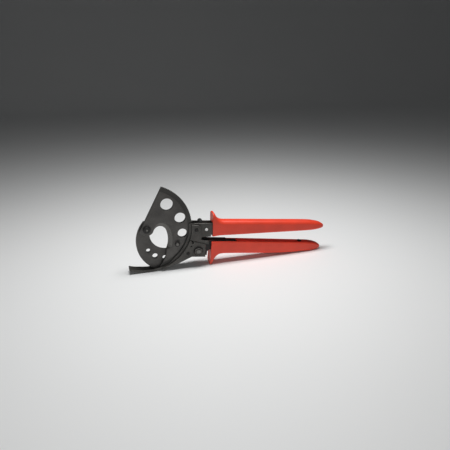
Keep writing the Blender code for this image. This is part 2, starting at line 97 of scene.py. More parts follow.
# Moving blade.
RIM_R = 58.4
TOOTH_DEPTH = 0.9
TOOTH_STEP = 2.1
RIM_TOP = 68.3
RIM_TOE = -78.0
BAND_R = 52.3
BAND_DEPTH = 0.6
BLADE_BOSS_R = 9.0
BLADE_BEVEL = 5.4
BLADE_CHIN = (22.0, -41.0)
EDGE_CENTRE = (-8.0, -15.7)
EDGE_R = 34.6
EDGE_TOP_CENTRE = (16.2, -7.2)
EDGE_TOP_R = 8.95
BLADE_HOLES = (((27.1, 30.9), 8.0), ((43.2, 11.2), 7.1), ((45.3, -10.1), 6.1))

# Hook.
HOOK_CENTRE = (29.6, -20.6)
HOOK_R = 44.1
THROAT_CENTRE = (24.0, -9.85)
THROAT_R = 20.7
HOOK_BOSS_R = 8.3
HOOK_RIM_R = 58.6
HOOK_BEVEL = 4.2
HOOK_HOLES = (((0.25, -31.5), 2.8), ((8.6, -40.3), 3.6), ((21.2, -44.2), 3.2))

# Guide channel.
CHANNEL_R = 60.2
FLOOR_IN_R = 58.9
WALL_EDGE_R = 57.0
WALL_EDGE_TOP_R = 54.2
WALL_EDGE_END_R = 58.5
APRON_R = 51.6
CHANNEL_TOP = 2.5
FLOOR_TOP = -46.0
CHANNEL_END = -116.0
PLATE_EDGE_R = 58.0

# Bolts, rivets and pins.
PIVOT_BOLT_R = 3.9
PIVOT_THREAD_R = 3.0
HANDLE_BOLT_R = 4.0
HANDLE_THREAD_R = 3.2
RIVET_R = 1.6
FLUSH_HEAD_R = 2.4
PAWL_PIN_R = 1.5
HALF_WIDTH = 11.3
TOUCH_GAP = 0.3

# Where the bars inside the grips end, and the slot in the lower grip's top.
CORE_END = 215.0
LOWER_CORE_END = 208.0
SLOT_END = 120.0
CORE_WALL = 1.4

# Gaps round bolts and rivets in fixed pieces, round the pins that pawls turn on, and below a head.
HOLE_GAP = 0.1
PIN_GAP = 0.08
SEAT_GAP = 0.02
BOLT_SEAT = PLATE_OUT + 0.05

# From how many degrees an edge stays sharp.
SHARP_PLATE = 35
SHARP_SLEEVE = 40
SHARP_RUBBER = 32

IMAGE_SIZE = 450


# ---------------------------------------------------------------- materials

class Nodes:
    """A Principled material whose inputs can be fed by noise."""

    def __init__(self, name, roughness, metallic):
        self.material = bpy.data.materials.new(name)
        self.material.use_nodes = True
        self.tree = self.material.node_tree
        self.shader = self.tree.nodes["Principled BSDF"]
        self.shader.inputs["Metallic"].default_value = metallic
        self.shader.inputs["Roughness"].default_value = roughness
        self.position = self.tree.nodes.new("ShaderNodeTexCoord").outputs["Object"]

    def noise(self, scale, detail=3.0, stretch=(1, 1, 1)):
        mapping = self.tree.nodes.new("ShaderNodeMapping")
        mapping.inputs["Scale"].default_value = stretch
        self.tree.links.new(self.position, mapping.inputs["Vector"])
        node = self.tree.nodes.new("ShaderNodeTexNoise")
        node.inputs["Scale"].default_value = scale
        node.inputs["Detail"].default_value = detail
        self.tree.links.new(mapping.outputs["Vector"], node.inputs["Vector"])
        return node.outputs["Fac"]

    def levels(self, value, low, high, to_low, to_high):
        node = self.tree.nodes.new("ShaderNodeMapRange")
        sockets = ("From Min", "From Max", "To Min", "To Max")
        for socket, number in zip(sockets, (low, high, to_low, to_high)):
            node.inputs[socket].default_value = number
        self.tree.links.new(value, node.inputs["Value"])
        return node.outputs["Result"]

    def mix(self, share, one, two):
        """Blends two colours, each a tuple or another node's output."""
        node = self.tree.nodes.new("ShaderNodeMix")
        node.data_type = "RGBA"
        self.tree.links.new(share, node.inputs["Factor"])
        for socket, colour in zip((node.inputs[6], node.inputs[7]), (one, two)):
            if isinstance(colour, tuple):
                socket.default_value = (*colour, 1.0)
            else:
                self.tree.links.new(colour, socket)
        return node.outputs[2]

    def add(self, one, two):
        node = self.tree.nodes.new("ShaderNodeMath")
        node.operation = "ADD"
        self.tree.links.new(one, node.inputs[0])
        self.tree.links.new(two, node.inputs[1])
        return node.outputs[0]

    def feed(self, socket, value):
        self.tree.links.new(value, self.shader.inputs[socket])

    def bump(self, height, depth_mm):
        node = self.tree.nodes.new("ShaderNodeBump")
        node.inputs["Strength"].default_value = 1.0
        node.inputs["Distance"].default_value = depth_mm * MM
        self.tree.links.new(height, node.inputs["Height"])
        self.tree.links.new(node.outputs["Normal"], self.shader.inputs["Normal"])


def scaled(colour, factor):
    """A lighter or darker version of a colour."""
    return tuple(min(1.0, channel * factor) for channel in colour)


def steel(name, colour, roughness, metallic, grain=0.012, streaks=None):
    """Satin steel: cloudy tone, fine speckle, uneven roughness, and a grain that can run one way."""
    nodes = Nodes(name, roughness, metallic)
    clouds = nodes.levels(nodes.noise(70, 4), 0.35, 0.65, 0.0, 1.0)
    tone = nodes.mix(clouds, scaled(colour, 0.82), scaled(colour, 1.16))
    specks = nodes.levels(nodes.noise(1500, 2), 0.56, 0.72, 0.0, 0.55)
    nodes.feed("Base Color", nodes.mix(specks, tone, scaled(colour, 1.9)))
    nodes.feed("Roughness", nodes.levels(nodes.noise(260, 3), 0.3, 0.7, roughness - 0.07, roughness + 0.1))
    height = nodes.noise(1900, 2)
    if streaks:
        height = nodes.add(height, nodes.noise(900, 3, streaks))
    nodes.bump(height, grain)
    return nodes.material


def moulded(name, colour, roughness, grain=0.02):
    """Moulded plastic or rubber: faint mottling, fine spark-eroded grain, rubbed patches."""
    nodes = Nodes(name, roughness, 0.0)
    mottle = nodes.levels(nodes.noise(38, 3), 0.35, 0.65, 0.0, 1.0)
    tone = nodes.mix(mottle, scaled(colour, 0.92), scaled(colour, 1.07))
    grime = nodes.levels(nodes.noise(420, 5), 0.6, 0.78, 0.0, 0.35)
    nodes.feed("Base Color", nodes.mix(grime, tone, scaled(colour, 0.66)))
    nodes.feed("Roughness", nodes.levels(nodes.noise(90, 4), 0.3, 0.7, roughness - 0.06, roughness + 0.1))
    nodes.bump(nodes.add(nodes.noise(1300, 3), nodes.noise(160, 2)), grain)
    return nodes.material


BLADE = steel("blade_steel", (0.082, 0.078, 0.074), 0.46, 0.55)
BLADE_EDGE = steel("blade_edge_steel", (0.11, 0.105, 0.10), 0.38, 0.7)
GROUND = steel("ground_steel", (0.13, 0.125, 0.118), 0.34, 0.75, 0.014, (1, 1, 0.05))
TEETH = steel("toothed_rim_steel", (0.03, 0.029, 0.028), 0.5, 0.6)
# The tooth band's darker tone is painted shade: the shadow in the gap beside the guide channel.
TOOTH_BAND_SHADE = steel("tooth_band_painted_shade_steel", (0.056, 0.054, 0.051), 0.5, 0.55)
FRAME = steel("frame_steel", (0.070, 0.067, 0.062), 0.5, 0.5)
FRAME_EDGE = steel("frame_edge_steel", (0.14, 0.133, 0.125), 0.4, 0.65)
BLACK = steel("blackened_steel", (0.014, 0.0135, 0.013), 0.5, 0.4)
BLACK_EDGE = steel("blackened_edge_steel", (0.03, 0.029, 0.028), 0.42, 0.5)
FASTENER = steel("fastener_steel", (0.16, 0.155, 0.145), 0.36, 0.8)
# Near-white rivet colour: a painted highlight, the glint on the upper core rivet's head.
PAINTED_HIGHLIGHT_RIVET = steel("rivet_painted_highlight_steel", (0.93, 0.92, 0.90), 0.35, 0.1)
SPRING = steel("spring_wire_steel", (0.24, 0.24, 0.245), 0.3, 0.9)
RED = moulded("red_grip_plastic", (0.80, 0.056, 0.023), 0.44)
RUBBER = moulded("bumper_rubber", (0.013, 0.013, 0.013), 0.75, 0.03)

# For a plate's faces, chamfers and side walls.
FRAME_FINISH = [FRAME, FRAME_EDGE, FRAME]
BLACK_FINISH = [BLACK, BLACK_EDGE, BLACK]


# ---------------------------------------------------------------- outlines in (u, v)

def arc(centre, radius, start, end, step=1.5):
    """Points along an arc, in degrees, at most one step apart."""
    count = max(1, ceil(abs(end - start) / step))
    angles = [radians(start + (end - start) * i / count) for i in range(count + 1)]
    return [(centre[0] + radius * cos(a), centre[1] + radius * sin(a)) for a in angles]


def polar(radius, angle):
    """A point round the blade pivot, by its angle in degrees."""
    return (radius * cos(radians(angle)), radius * sin(radians(angle)))


def circle(centre, radius, count=64):
    """A closed circle, without a repeated last point."""
    return arc(centre, radius, 0, 360, 360 / count)[:-1]


def strut(start, end, start_r, end_r):
    """A tapered bar with round ends."""
    heading = degrees(atan2(end[1] - start[1], end[0] - start[0]))
    near = arc(start, start_r, heading + 90, heading + 270, 6)
    return near + arc(end, end_r, heading - 90, heading + 90, 10)


def signed_area(points):
    """Positive for an outline that runs anticlockwise."""
    return sum(a[0] * b[1] - b[0] * a[1] for a, b in zip(points, points[1:] + points[:1])) / 2


def offset(points, distances):
    """Moves each point of a closed outline to its left, by its own distance."""
    moved = []
    for i, here in enumerate(points):
        before = (Vector(here) - Vector(points[i - 1])).normalized()
        after = (Vector(points[(i + 1) % len(points)]) - Vector(here)).normalized()
        left = Vector((-before.y - after.y, before.x + after.x)).normalized()
        mitre = max(0.55, left.dot(Vector((-after.y, after.x))))
        moved.append(tuple(Vector(here) + left * (distances[i] / mitre)))
    return moved


# ---------------------------------------------------------------- solids

def finished(name, source, finishes, sharp=SHARP_PLATE):
    """Turns a bmesh in (u, y, v) millimetres into an object in the tool's frame."""
    bmesh.ops.recalc_face_normals(source, faces=source.faces)
    if source.calc_volume(signed=True) < 0:
        bmesh.ops.reverse_faces(source, faces=source.faces)
    for vertex in source.verts:
        vertex.co = place(*vertex.co)
    mesh = bpy.data.meshes.new(name)
    source.to_mesh(mesh)
    source.free()
    made = bpy.data.objects.new(name, mesh)
    bpy.context.scene.collection.objects.link(made)
    mesh.shade_smooth()
    mesh.set_sharp_from_angle(angle=radians(sharp))
    for finish in finishes:
        mesh.materials.append(finish)
    return made


def stitch(source, one, two, slots=0):
    """Joins two rings of vertices with quads, all with one slot or each with its own."""
    for i in range(len(one)):
        j = (i + 1) % len(one)
        face = source.faces.new((one[i], one[j], two[j], two[i]))
        face.material_index = slots[i] if isinstance(slots, list) else slots


def plate(name, outline, front, back, finishes, holes=(), chamfer=0.25, ground=None,
          ground_side="front"):
    """A flat piece from y = front to y = back with chamfered edges and holes.

    finishes are for its faces, its chamfers and its side walls. ground gives, for each point of the outline,
    how far a ground bevel reaches in from there, on one side.
    """
    loops = [list(outline)] + [list(hole) for hole in holes]
    widths = [[0.0] * len(loop) for loop in loops]
    if ground:
        widths[0] = list(ground)
    for number, loop in enumerate(loops):
        if (signed_area(loop) > 0) != (number == 0):
            loop.reverse()
            widths[number].reverse()
    other_side = "back" if ground_side == "front" else "front"
    edge_left = 0.15
    keen_chamfer = 0.08
    source = bmesh.new()
    caps = ([], [])
    for loop, width in zip(loops, widths):
        insets = {side: [chamfer] * len(loop) for side in ("front", "back")}
        depths = {side: [chamfer] * len(loop) for side in ("front", "back")}
        for i, reach in enumerate(width):
            if reach > chamfer:
                share = min(1.0, reach / max(width))
                insets[ground_side][i] = reach
                depths[ground_side][i] = chamfer + (back - front - 2 * chamfer - edge_left) * share
                depths[other_side][i] = insets[other_side][i] = keen_chamfer
        rings = []
        for points, levels in (
                (offset(loop, insets["front"]), [front] * len(loop)),
                (loop, [front + depth for depth in depths["front"]]),
                (loop, [back - depth for depth in depths["back"]]),
                (offset(loop, insets["back"]), [back] * len(loop))):
            rings.append([source.verts.new((u, y, v)) for (u, v), y in zip(points, levels)])
        bevels = [len(finishes) - 1 if reach > chamfer else 1 for reach in width]
        stitch(source, rings[0], rings[1], bevels if ground_side == "front" else 1)
        stitch(source, rings[1], rings[2], 2)
        stitch(source, rings[2], rings[3], bevels if ground_side == "back" else 1)
        caps[0].append(rings[0])
        caps[1].append(rings[3])
    for rings in caps:
        flat = [vertex for ring in rings for vertex in ring]
        lines = [[Vector((vertex.co.x, vertex.co.z, 0)) for vertex in ring] for ring in rings]
        for triangle in tessellate_polygon(lines):
            source.faces.new([flat[i] for i in triangle])
    return finished(name, source, finishes)


def turned(name, profile, at, finish, sides=48):
    """A turned piece on an axis along Y: its profile is (radius, y) pairs from one end to the other."""
    source = bmesh.new()
    rings = []
    for radius, y in profile:
        rings.append([source.verts.new((u, y, v)) for u, v in circle(at, radius, sides)])
    for one, two in zip(rings, rings[1:]):
        stitch(source, one, two)
    source.faces.new(rings[0])
    source.faces.new(rings[-1])
    return finished(name, source, [finish])


def rounded(profile, radius, steps=3):
    """Rounds the corners inside a turned profile."""
    smooth = [profile[0]]
    for before, here, after in zip(profile, profile[1:], profile[2:]):
        before, here, after = Vector(before), Vector(here), Vector(after)
        reach = min(radius, (before - here).length * 0.45, (after - here).length * 0.45)
        start = here + (before - here).normalized() * reach
        end = here + (after - here).normalized() * reach
        for i in range(steps + 1):
            t = i / steps
            smooth.append(tuple(start * (1 - t) ** 2 + here * 2 * t * (1 - t) + end * t ** 2))
    return smooth + [profile[-1]]


def section(half, height, top_radius, bottom_radius, steps=8):
    """A rounded rectangle as (across, up) points, with other radii at the top than at the bottom."""
    high, low = top_radius, bottom_radius
    corners = ((half - high, height - high, high, 0), (high - half, height - high, high, 90),
               (low - half, low, low, 180), (half - low, low, low, 270))
    points = []
    for across, up, radius, start in corners:
        for i in range(steps + 1):
            angle = radians(start + 90 * i / steps)
            points.append((across + radius * cos(angle), up + radius * sin(angle)))
    return points


def smoothed(stations, steps):
    """More stations between the given ones, along a smooth curve through all of them."""
    made = []
    for i in range(len(stations) - 1):
        before, after = stations[max(0, i - 1)], stations[min(len(stations) - 1, i + 2)]
        four = [before, stations[i], stations[i + 1], after]
        for k in range(steps):
            t = k / steps
            made.append([
                0.5 * (2 * b + (c - a) * t + (2 * a - 5 * b + 4 * c - d) * t ** 2
                       + (3 * b - a - 3 * c + d) * t ** 3)
                for a, b, c, d in zip(*four)])
    return made + [list(stations[-1])]


def lofted(name, stations, finish, steps=5):
    """A sleeve through sections.

    Each is (top u, top v, bottom u, bottom v, half width, top corner radius, bottom corner radius).
    """
    source = bmesh.new()
    rings = []
    for top_u, top_v, bottom_u, bottom_v, half, top_radius, bottom_radius in smoothed(stations, steps):
        height = top_v - bottom_v
        ring = []
        for across, up in section(half, height, min(top_radius, half, height / 2),
                                  min(bottom_radius, half, height / 2)):
            u = bottom_u + (top_u - bottom_u) * up / height
            ring.append(source.verts.new((u, across, bottom_v + up)))
        rings.append(ring)
    for one, two in zip(rings, rings[1:]):
        stitch(source, one, two)
    source.faces.new(rings[0])
    source.faces.new(rings[-1])
    return finished(name, source, [finish], SHARP_SLEEVE)


def tube(name, route, wire, finish):
    """A round wire along points in (u, y, v)."""
    curve = bpy.data.curves.new(name, "CURVE")
    curve.dimensions = "3D"
    curve.bevel_depth = wire / 2 * MM
    curve.bevel_resolution = 4
    curve.use_fill_caps = True
    spline = curve.splines.new("POLY")
    spline.points.add(len(route) - 1)
    for point, at in zip(spline.points, route):
        point.co = (*place(*at), 1)
    curve.materials.append(finish)
    made = bpy.data.objects.new(name, curve)
    bpy.context.scene.collection.objects.link(made)
    return made


def carve(target, cutter):
    """Cuts one piece from another for good, and removes the cutter."""
    modifier = target.modifiers.new("cut", "BOOLEAN")
    modifier.operation = "DIFFERENCE"
    modifier.material_mode = "TRANSFER"
    modifier.object = cutter
    bpy.context.view_layer.update()
    evaluated = target.evaluated_get(bpy.context.evaluated_depsgraph_get())
    result = bpy.data.meshes.new_from_object(evaluated)
    target.modifiers.clear()
    target.data = result
    result.set_sharp_from_angle(angle=radians(SHARP_SLEEVE))
    bpy.data.objects.remove(cutter)


def fit(piece, body, slot, *nodes):
    """Rides a piece on its body, in place of CAD nodes."""
    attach(piece, body)
    if nodes:
        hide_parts(*nodes)


# ---------------------------------------------------------------- the blades

def toothed_rim(start, end):
    """Saw teeth with their steep sides towards the blade's tip."""
    # Along one tooth: how far in steps, and how deep in tooth depths.
    tooth = ((0.08, 0.0), (0.28, 1.0), (0.40, 0.85), (0.72, 0.35))
    worn_tip = 0.06
    points = []
    for i in range(int((start - end) / TOOTH_STEP)):
        tip = start - i * TOOTH_STEP
        points.append(polar(RIM_R - worn_tip, tip))
        for along, depth in tooth:
            points.append(polar(RIM_R - TOOTH_DEPTH * depth, tip - along * TOOTH_STEP))
    return points + [polar(RIM_R, end)]


def moving_blade():
    """Sickle blade with a toothed rim, a ground cutting edge, a straight back and a swing button."""
    rim = toothed_rim(RIM_TOP, RIM_TOE) + [BLADE_CHIN]
    join = degrees(atan2(EDGE_TOP_CENTRE[1] - EDGE_CENTRE[1], EDGE_TOP_CENTRE[0] - EDGE_CENTRE[0]))
    edge = arc(EDGE_CENTRE, EDGE_R, -25.5, join, 2) + arc(EDGE_TOP_CENTRE, EDGE_TOP_R, join, 143, 5)[1:]
    boss = arc((0, 0), BLADE_BOSS_R, -30, -167.5, 4)
    ground = [0.0] * len(rim)
    ground += [BLADE_BEVEL * min(1.0, (i + 1) / 5, (len(edge) - i) / 12) for i in range(len(edge))]
    ground += [0.0] * len(boss)
    holes = [circle(at, radius) for at, radius in BLADE_HOLES]
    holes.append(circle((0, 0), PIVOT_BOLT_R + HOLE_GAP, 40))
    blade = plate("sickle_blade", rim + edge + boss, -BLADE_FACE, -SLIDE_GAP,
                  [BLADE, BLADE_EDGE, TEETH, GROUND], holes, 0.3, ground)
    toe, top = RIM_TOE - 4, RIM_TOP + 4
    # The recessed band round the rim takes the tooth band finish. Its darker tone is painted shade along the
    # guide channel.
    band = arc((0, 0), BAND_R, toe, top) + arc((0, 0), RIM_R + 2, top, toe)
    carve(blade, plate("tooth_band", band, -BLADE_FACE - 1, -BLADE_FACE + BAND_DEPTH,
                       [TOOTH_BAND_SHADE] * 3, (), 0.05))
    fit(blade, "blade", "blade_steel", "moving_blade")
    seat = -BLADE_FACE - SEAT_GAP
    profile = rounded([(1.6, -SLIDE_GAP - 0.4), (1.6, seat), (2.9, seat), (2.9, -5.2), (2.3, -5.6),
                       (2.3, -6.0), (3.4, -6.4), (3.4, -7.7), (2.8, -8.3), (0.3, -8.3)], 0.4)
    fit(turned("swing_button", profile, KNOB, TEETH), "blade", "fastener_steel", "blade_knob")
    # Paler cap on the dark button: painted highlight on its top.
    cap = rounded([(1.9, -8.2), (1.9, -8.6), (1.2, -8.8), (0.2, -8.8)], 0.2)
    fit(turned("swing_button_painted_highlight", cap, KNOB, FASTENER, 32), "blade", "fastener_steel")


def fixed_blade():
    """Hook behind the moving blade, with a ground bevel at the back of its throat."""
    belly = arc(HOOK_CENTRE, HOOK_R, 236, 137)
    boss = arc((0, 0), HOOK_BOSS_R, 100, -65, 4)
    throat = arc(THROAT_CENTRE, THROAT_R, 174, 325, 2.5)
    rim = [polar(56.0, -18.8)] + arc((0, 0), HOOK_RIM_R, -17.9, -84)
    ground = [0.0] * (len(belly) + len(boss))
    ground += [HOOK_BEVEL * min(1.0, (i + 1) / 6, (len(throat) - i) / 6) for i in range(len(throat))]
    ground += [0.0] * len(rim)
    holes = [circle(at, radius, 40) for at, radius in HOOK_HOLES]
    holes.append(circle((0, 0), PIVOT_BOLT_R + HOLE_GAP, 40))
    hook = plate("hook_blade", belly + boss + throat + rim, SLIDE_GAP, BLADE_FACE,
                 [BLADE, BLADE_EDGE, BLADE, GROUND], holes, 0.3, ground, "back")
    fit(hook, "frame", "blade_steel", "fixed_blade")
    seat = WALL_OUT + SEAT_GAP
    head = rounded([(1.5, 0.4), (1.5, seat), (2.4, seat), (2.4, 6.6), (0.4, 7.0)], 0.4)
    for number in (1, 2, 3):
        node = f"hook_rivet_{number}"
        rivet = turned(f"hook_rivet_head_{number}", head, node_at(node), FASTENER, 32)
        fit(rivet, "frame", "fastener_steel", node)


def hexagon(at, across_corners, turn):
    """A nut's outline, turned by some degrees."""
    return arc(at, across_corners / 2, turn, turn + 360, 60)[:-1]


def blade_pivot():
    """Low-headed dark bolt on a dark washer ring, with its nut behind the hook. The paler centre on the head is a
    painted highlight, and the ring's black is painted shadow round the head.
    """
    head = [(1.5, -7.1), (1.8, -7.4), (3.4, -7.4), (4.4, -6.8), (4.4, -6.15), (PIVOT_BOLT_R, -6.1),
            (PIVOT_BOLT_R, WALL_IN), (PIVOT_THREAD_R, WALL_IN), (PIVOT_THREAD_R, 9.1), (2.6, 9.4)]
    bolt = turned("blade_pivot_bolt_turned", rounded(head, 0.3), (0, 0), TEETH)
    fit(bolt, "frame", "fastener_steel", "blade_pivot_bolt")
    # Paler disc on the head: painted highlight on the bolt's dome.
    centre = rounded([(0.2, -7.35), (1.1, -7.35), (1.45, -7.0), (1.45, -6.8)], 0.2)
    fit(turned("blade_pivot_bolt_painted_highlight", centre, (0, 0), FASTENER, 32), "frame", "fastener_steel")
    # Black washer ring: its black is painted shadow round the bolt's head.
    ring = plate("blade_pivot_ring", circle((0, 0), 5.0), -6.05, -WALL_IN, BLACK_FINISH,
                 [circle((0, 0), PIVOT_BOLT_R + HOLE_GAP, 48)], 0.2)
    fit(ring, "frame", "black_steel", "blade_pivot_washer")
    nut = plate("blade_pivot_hex_nut", hexagon((0, 0), 11.2, 10), 5.0, 8.7, BLACK_FINISH,
                [circle((0, 0), PIVOT_THREAD_R + HOLE_GAP, 40)], 0.5)
    fit(nut, "frame", "black_steel", "blade_pivot_nut")


# ---------------------------------------------------------------- the frame

def ramp(x, start, end, before, after):
    """A value that runs from one level to another, with soft ends."""
    share = min(1.0, max(0.0, (x - start) / (end - start)))
    return before + (after - before) * share * share * (3 - 2 * share)


def wall_profile(edge, side):
    """One wall of the channel and half its floor, as (radius, y) pairs. side is -1 in front and 1 behind."""
    nick = 0.25
    corner = ((CHANNEL_R - 0.5, WALL_OUT), (CHANNEL_R - 0.15, WALL_OUT - 0.15), (CHANNEL_R, WALL_OUT - 0.5))
    profile = [(edge + nick, WALL_OUT), *corner, (CHANNEL_R, WALL_IN), (FLOOR_IN_R, WALL_IN),
               (edge + nick, WALL_IN), (edge, WALL_IN + nick), (edge, WALL_OUT - nick)]
    return [(radius, side * y) for radius, y in profile]


def guide_channel():
    """U-shaped arc round the blades' rims, with a foot at its free end.

    The walls grow from the foot's tip. The front one narrows the gap again higher up, and the back one has
    an apron that holds the hook.
    """
    count = 90
    foot_count = round(count * (FLOOR_TOP - CHANNEL_END) / (CHANNEL_TOP - CHANNEL_END))
    angles = [CHANNEL_END + (FLOOR_TOP - CHANNEL_END) * i / foot_count for i in range(foot_count + 1)]
    top_count = count - foot_count
    angles += [FLOOR_TOP + (CHANNEL_TOP - FLOOR_TOP) * i / top_count for i in range(1, top_count + 1)]
    source = bmesh.new()
    rings = []
    for angle in angles:
        front_edge = ramp(angle, CHANNEL_END, -100, WALL_EDGE_END_R, WALL_EDGE_R)
        front_edge += ramp(angle, -66, -50, 0.0, WALL_EDGE_TOP_R - WALL_EDGE_R)
        apron = ramp(angle, -89.5, -86, 0.0, 1.0) * ramp(angle, -24, -19, 1.0, 0.0)
        back_edge = front_edge + (APRON_R - front_edge) * apron
        ring = []
        for radius, y in wall_profile(front_edge, -1) + wall_profile(back_edge, 1):
            u, v = polar(radius, angle)
            ring.append(source.verts.new((u, y, v)))
        rings.append(ring)
    front_wall = list(range(9))
    back_wall = list(range(9, 18))
    with_floor = [0, 1, 2, 3, 4, 13, 12, 11, 10, 9, 17, 16, 15, 14, 5, 6, 7, 8]
    for number, (one, two) in enumerate(zip(rings, rings[1:])):
        # The floor ends at FLOOR_TOP. Above it the walls run on alone.
        for loop in [with_floor] if number < foot_count else [front_wall, back_wall]:
            stitch(source, [one[i] for i in loop], [two[i] for i in loop])
    source.faces.new([rings[0][i] for i in with_floor])
    source.faces.new([rings[foot_count][i] for i in (4, 13, 14, 5)])
    source.faces.new([rings[-1][i] for i in front_wall])
    source.faces.new([rings[-1][i] for i in back_wall])
    fit(finished("guide_channel_bent", source, [FRAME]), "frame", "frame_steel", "guide_channel")


def side_plates():
    """Lower side plates, the front one with a notch and a small hole, and the rounded cheeks above them."""
    top_left = polar(PLATE_EDGE_R, -21)
    top_right = (74.6, -27.6)
    fall = (top_right[1] - top_left[1]) / (top_right[0] - top_left[0])
    notch = [(u, top_left[1] + fall * (u - top_left[0])) for u in (59.5, 56.8)]
    notch[1:1] = [(59.5, -25.4), (56.8, -25.4)]
    body = arc((0, 0), PLATE_EDGE_R, -21, -75)
    body += [(37.5, -51.8), (55.9, -44.3), (74.4, -46.8), (75.3, -28.6), top_right]
    holes = [circle(HANDLE_PIVOT, HANDLE_BOLT_R + HOLE_GAP), circle(FRAME_RIVET, RIVET_R + HOLE_GAP, 24)]
    front = plate("lower_side_plate_front", body + notch, -PLATE_OUT, -PLATE_IN, FRAME_FINISH,
                  holes + [circle((56.0, -29.0), 0.9, 20)], 0.3)
    fit(front, "frame", "frame_steel", "frame_front_plate")
    back = plate("lower_side_plate_back", body, PLATE_IN, PLATE_OUT, FRAME_FINISH, holes, 0.3)
    fit(back, "frame", "frame_steel", "frame_back_plate")
    cheek = arc((0, 0), PLATE_EDGE_R, -20.3, 1.5) + arc(HOLDING_PAWL_PIN, 7.0, 95, -5, 4)
    cheek += [(69.6, -21.7), (79.2, -24.1), (79.2, -28.8)]
    pin_hole = [circle(HOLDING_PAWL_PIN, FLUSH_HEAD_R + 0.12, 32)]
    for name, near, far, node in (("cheek_front", -PLATE_OUT, -PLATE_IN, "front_cheek_plate"),
                                  ("cheek_back", PLATE_IN, PLATE_OUT, "back_cheek_plate")):
        fit(plate(name, cheek, near, far, FRAME_FINISH, pin_hole, 0.4), "frame", "frame_steel", node)


def frame_spacer():
    """Block between the side plates, below the guide channel."""
    outline = arc((0, 0), CHANNEL_R + TOUCH_GAP, -47.5, -60)
    outline += [(32.0, -52.9), (37.5, -51.2), (46.5, -47.5)]
    block = plate("spacer_block", outline, -WALL_OUT, WALL_OUT, FRAME_FINISH, (), 0.3)
    fit(block, "frame", "frame_steel", "frame_spacer")


def rivet(name, node, at, face, head, finish):
    """Rivet right through, with a low domed head at each end."""
    face += SEAT_GAP
    half = [(0.3, -face - 0.95), (head * 0.55, -face - 0.85), (head, -face - 0.35), (head, -face),
            (RIVET_R, -face)]
    profile = half + [(reach, -y) for reach, y in reversed(half)]
    fit(turned(name, rounded(profile, 0.3), at, finish, 32), "frame", "fastener_steel", node)


def flush_pin():
    """The holding pawl's pin, with its heads let into the cheeks."""
    half = [(0.3, -8.2), (1.9, -8.24), (FLUSH_HEAD_R, -8.0), (FLUSH_HEAD_R, -6.5), (RIVET_R, -6.5)]
    profile = half + [(reach, -y) for reach, y in reversed(half)]
    pin = turned("holding_pawl_flush_pin", profile, HOLDING_PAWL_PIN, BLACK, 32)
    fit(pin, "frame", "black_steel", "holding_pawl_pin")


def handle_pivot():
    """Bolt through the frame and the lower handle, with a wide washer and a nut in front."""
    bolt = [(2.7, -HALF_WIDTH), (HANDLE_THREAD_R, -10.9), (HANDLE_THREAD_R, -9.0), (HANDLE_BOLT_R, -9.0),
            (HANDLE_BOLT_R, BOLT_SEAT), (6.2, BOLT_SEAT), (6.2, 10.2), (5.2, 11.0), (0.3, HALF_WIDTH)]
    bolt = turned("handle_pivot_bolt_turned", rounded(bolt, 0.35), HANDLE_PIVOT, FASTENER)
    fit(bolt, "frame", "fastener_steel", "handle_pivot_bolt")
    # The wide washer is black: its black is painted shadow, the dark ring round the nut.
    washer = plate("handle_pivot_wide_washer", circle(HANDLE_PIVOT, 6.5), -9.3, -BOLT_SEAT,
                   BLACK_FINISH, [circle(HANDLE_PIVOT, HANDLE_BOLT_R + 0.15)], 0.2)
    fit(washer, "frame", "black_steel", "handle_pivot_washer")
    nut = plate("handle_pivot_hex_nut", hexagon(HANDLE_PIVOT, 11.2, 20), -HALF_WIDTH + 0.1, -9.35,
                FRAME_FINISH, [circle(HANDLE_PIVOT, HANDLE_THREAD_R + HOLE_GAP, 40)], 0.45)
    fit(nut, "frame", "fastener_steel", "handle_pivot_nut")


# ---------------------------------------------------------------- the pawls

def coil(name, at, radius, wire, front, back, legs, turns):
    """A torsion spring round a pin, with two straight legs."""
    steps = 32 * turns
    first = radians(legs[0])
    sweep = 2 * pi * turns + radians(legs[1] - legs[0])
    reach = 3.2
    route = [(at[0] + radius * cos(first) - reach * sin(first), front + wire / 2,
              at[1] + radius * sin(first) + reach * cos(first))]
    for i in range(steps + 1):
        angle = first - sweep * i / steps
        y = front + wire / 2 + (back - front - wire) * i / steps
        route.append((at[0] + radius * cos(angle), y, at[1] + radius * sin(angle)))
    last = first - sweep
    route.append((at[0] + radius * cos(last) + reach * sin(last), back - wire / 2,
                  at[1] + radius * sin(last) - reach * cos(last)))
    return tube(name, route, wire, SPRING)


